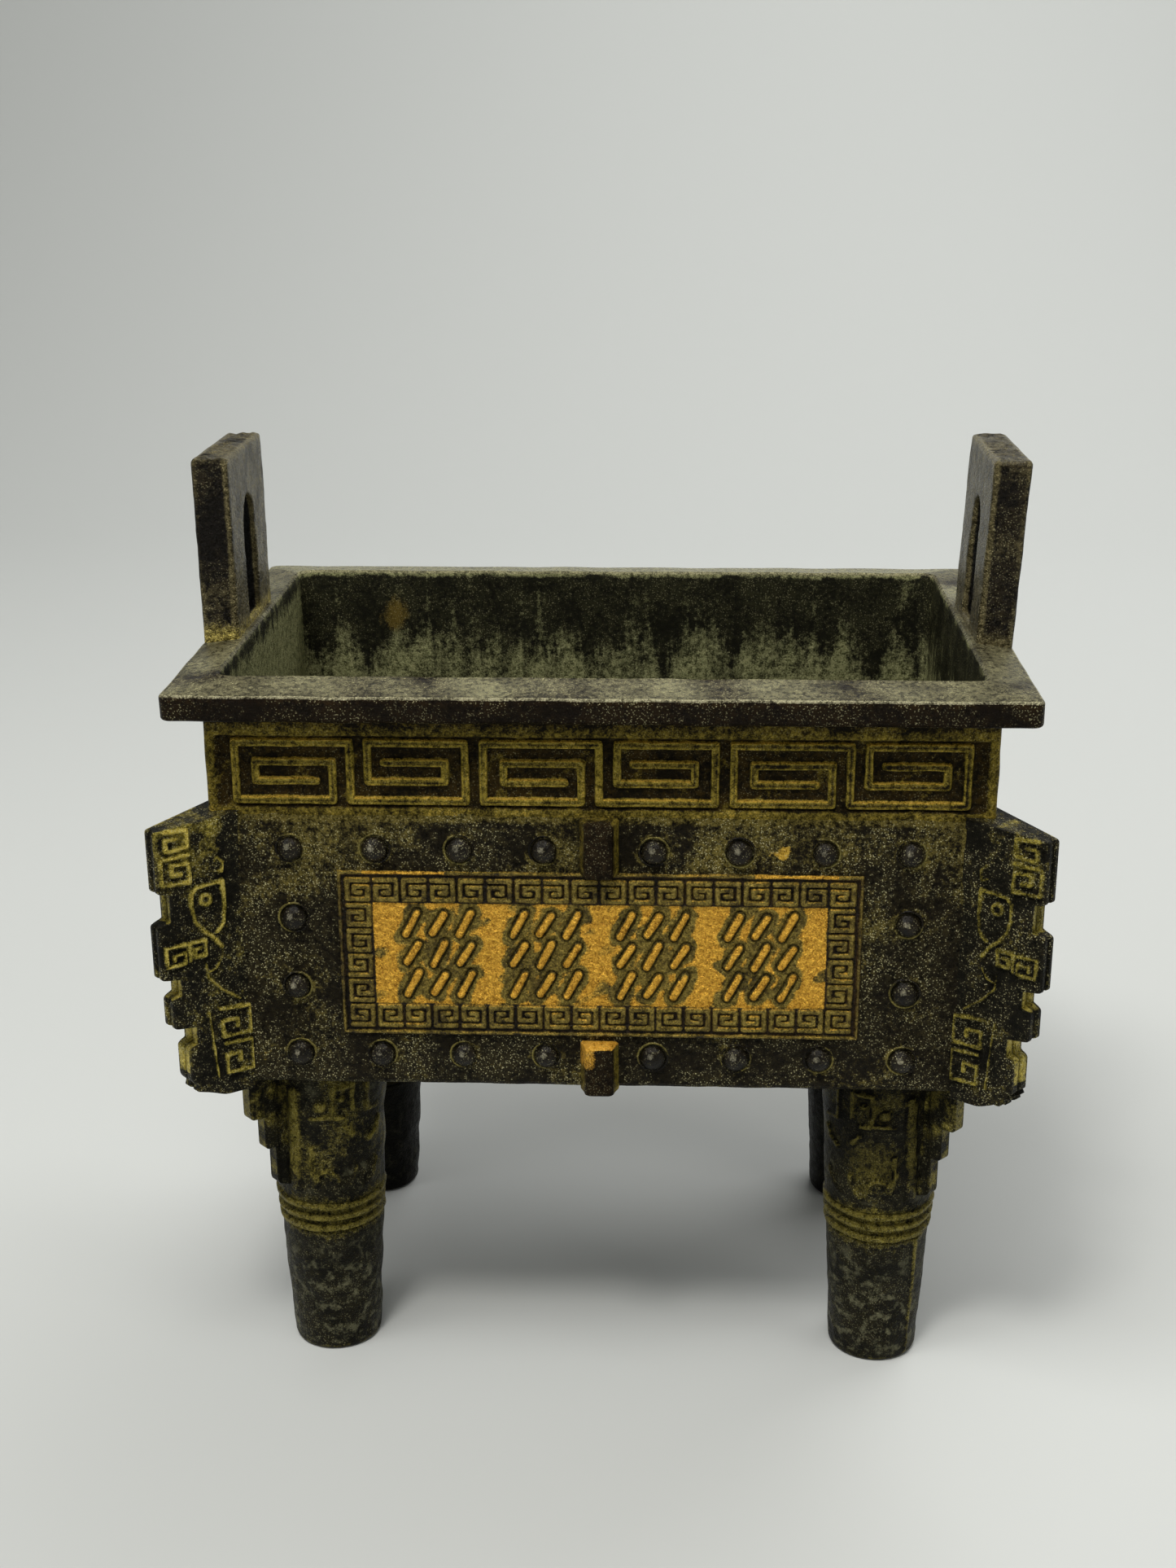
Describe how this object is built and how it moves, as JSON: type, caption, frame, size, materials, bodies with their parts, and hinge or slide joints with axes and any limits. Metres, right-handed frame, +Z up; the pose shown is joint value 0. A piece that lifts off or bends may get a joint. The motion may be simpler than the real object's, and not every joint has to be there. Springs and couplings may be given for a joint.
{
  "type": "rectangular bronze cauldron",
  "caption": "Small rectangular cauldron on round legs, cast hollow in copper alloy, with upright handles, corner fins, bosses and a gilded panel.",
  "frame": {"origin": "bottom centre of the bounding box, on the surface the feet stand on", "axes": "+Z up; the long front with the gilded panel faces -Y; +X to the right of someone facing it"},
  "size_m": [0.164, 0.113, 0.1787],
  "materials": {
    "patinated_gilt_copper": "dark brown-black patina on cast copper alloy, olive brass in the recesses, worn gilding in the front panel"
  },
  "bodies": {
    "root": {"cauldron": "patinated_gilt_copper"}
  },
  "joints": []
}
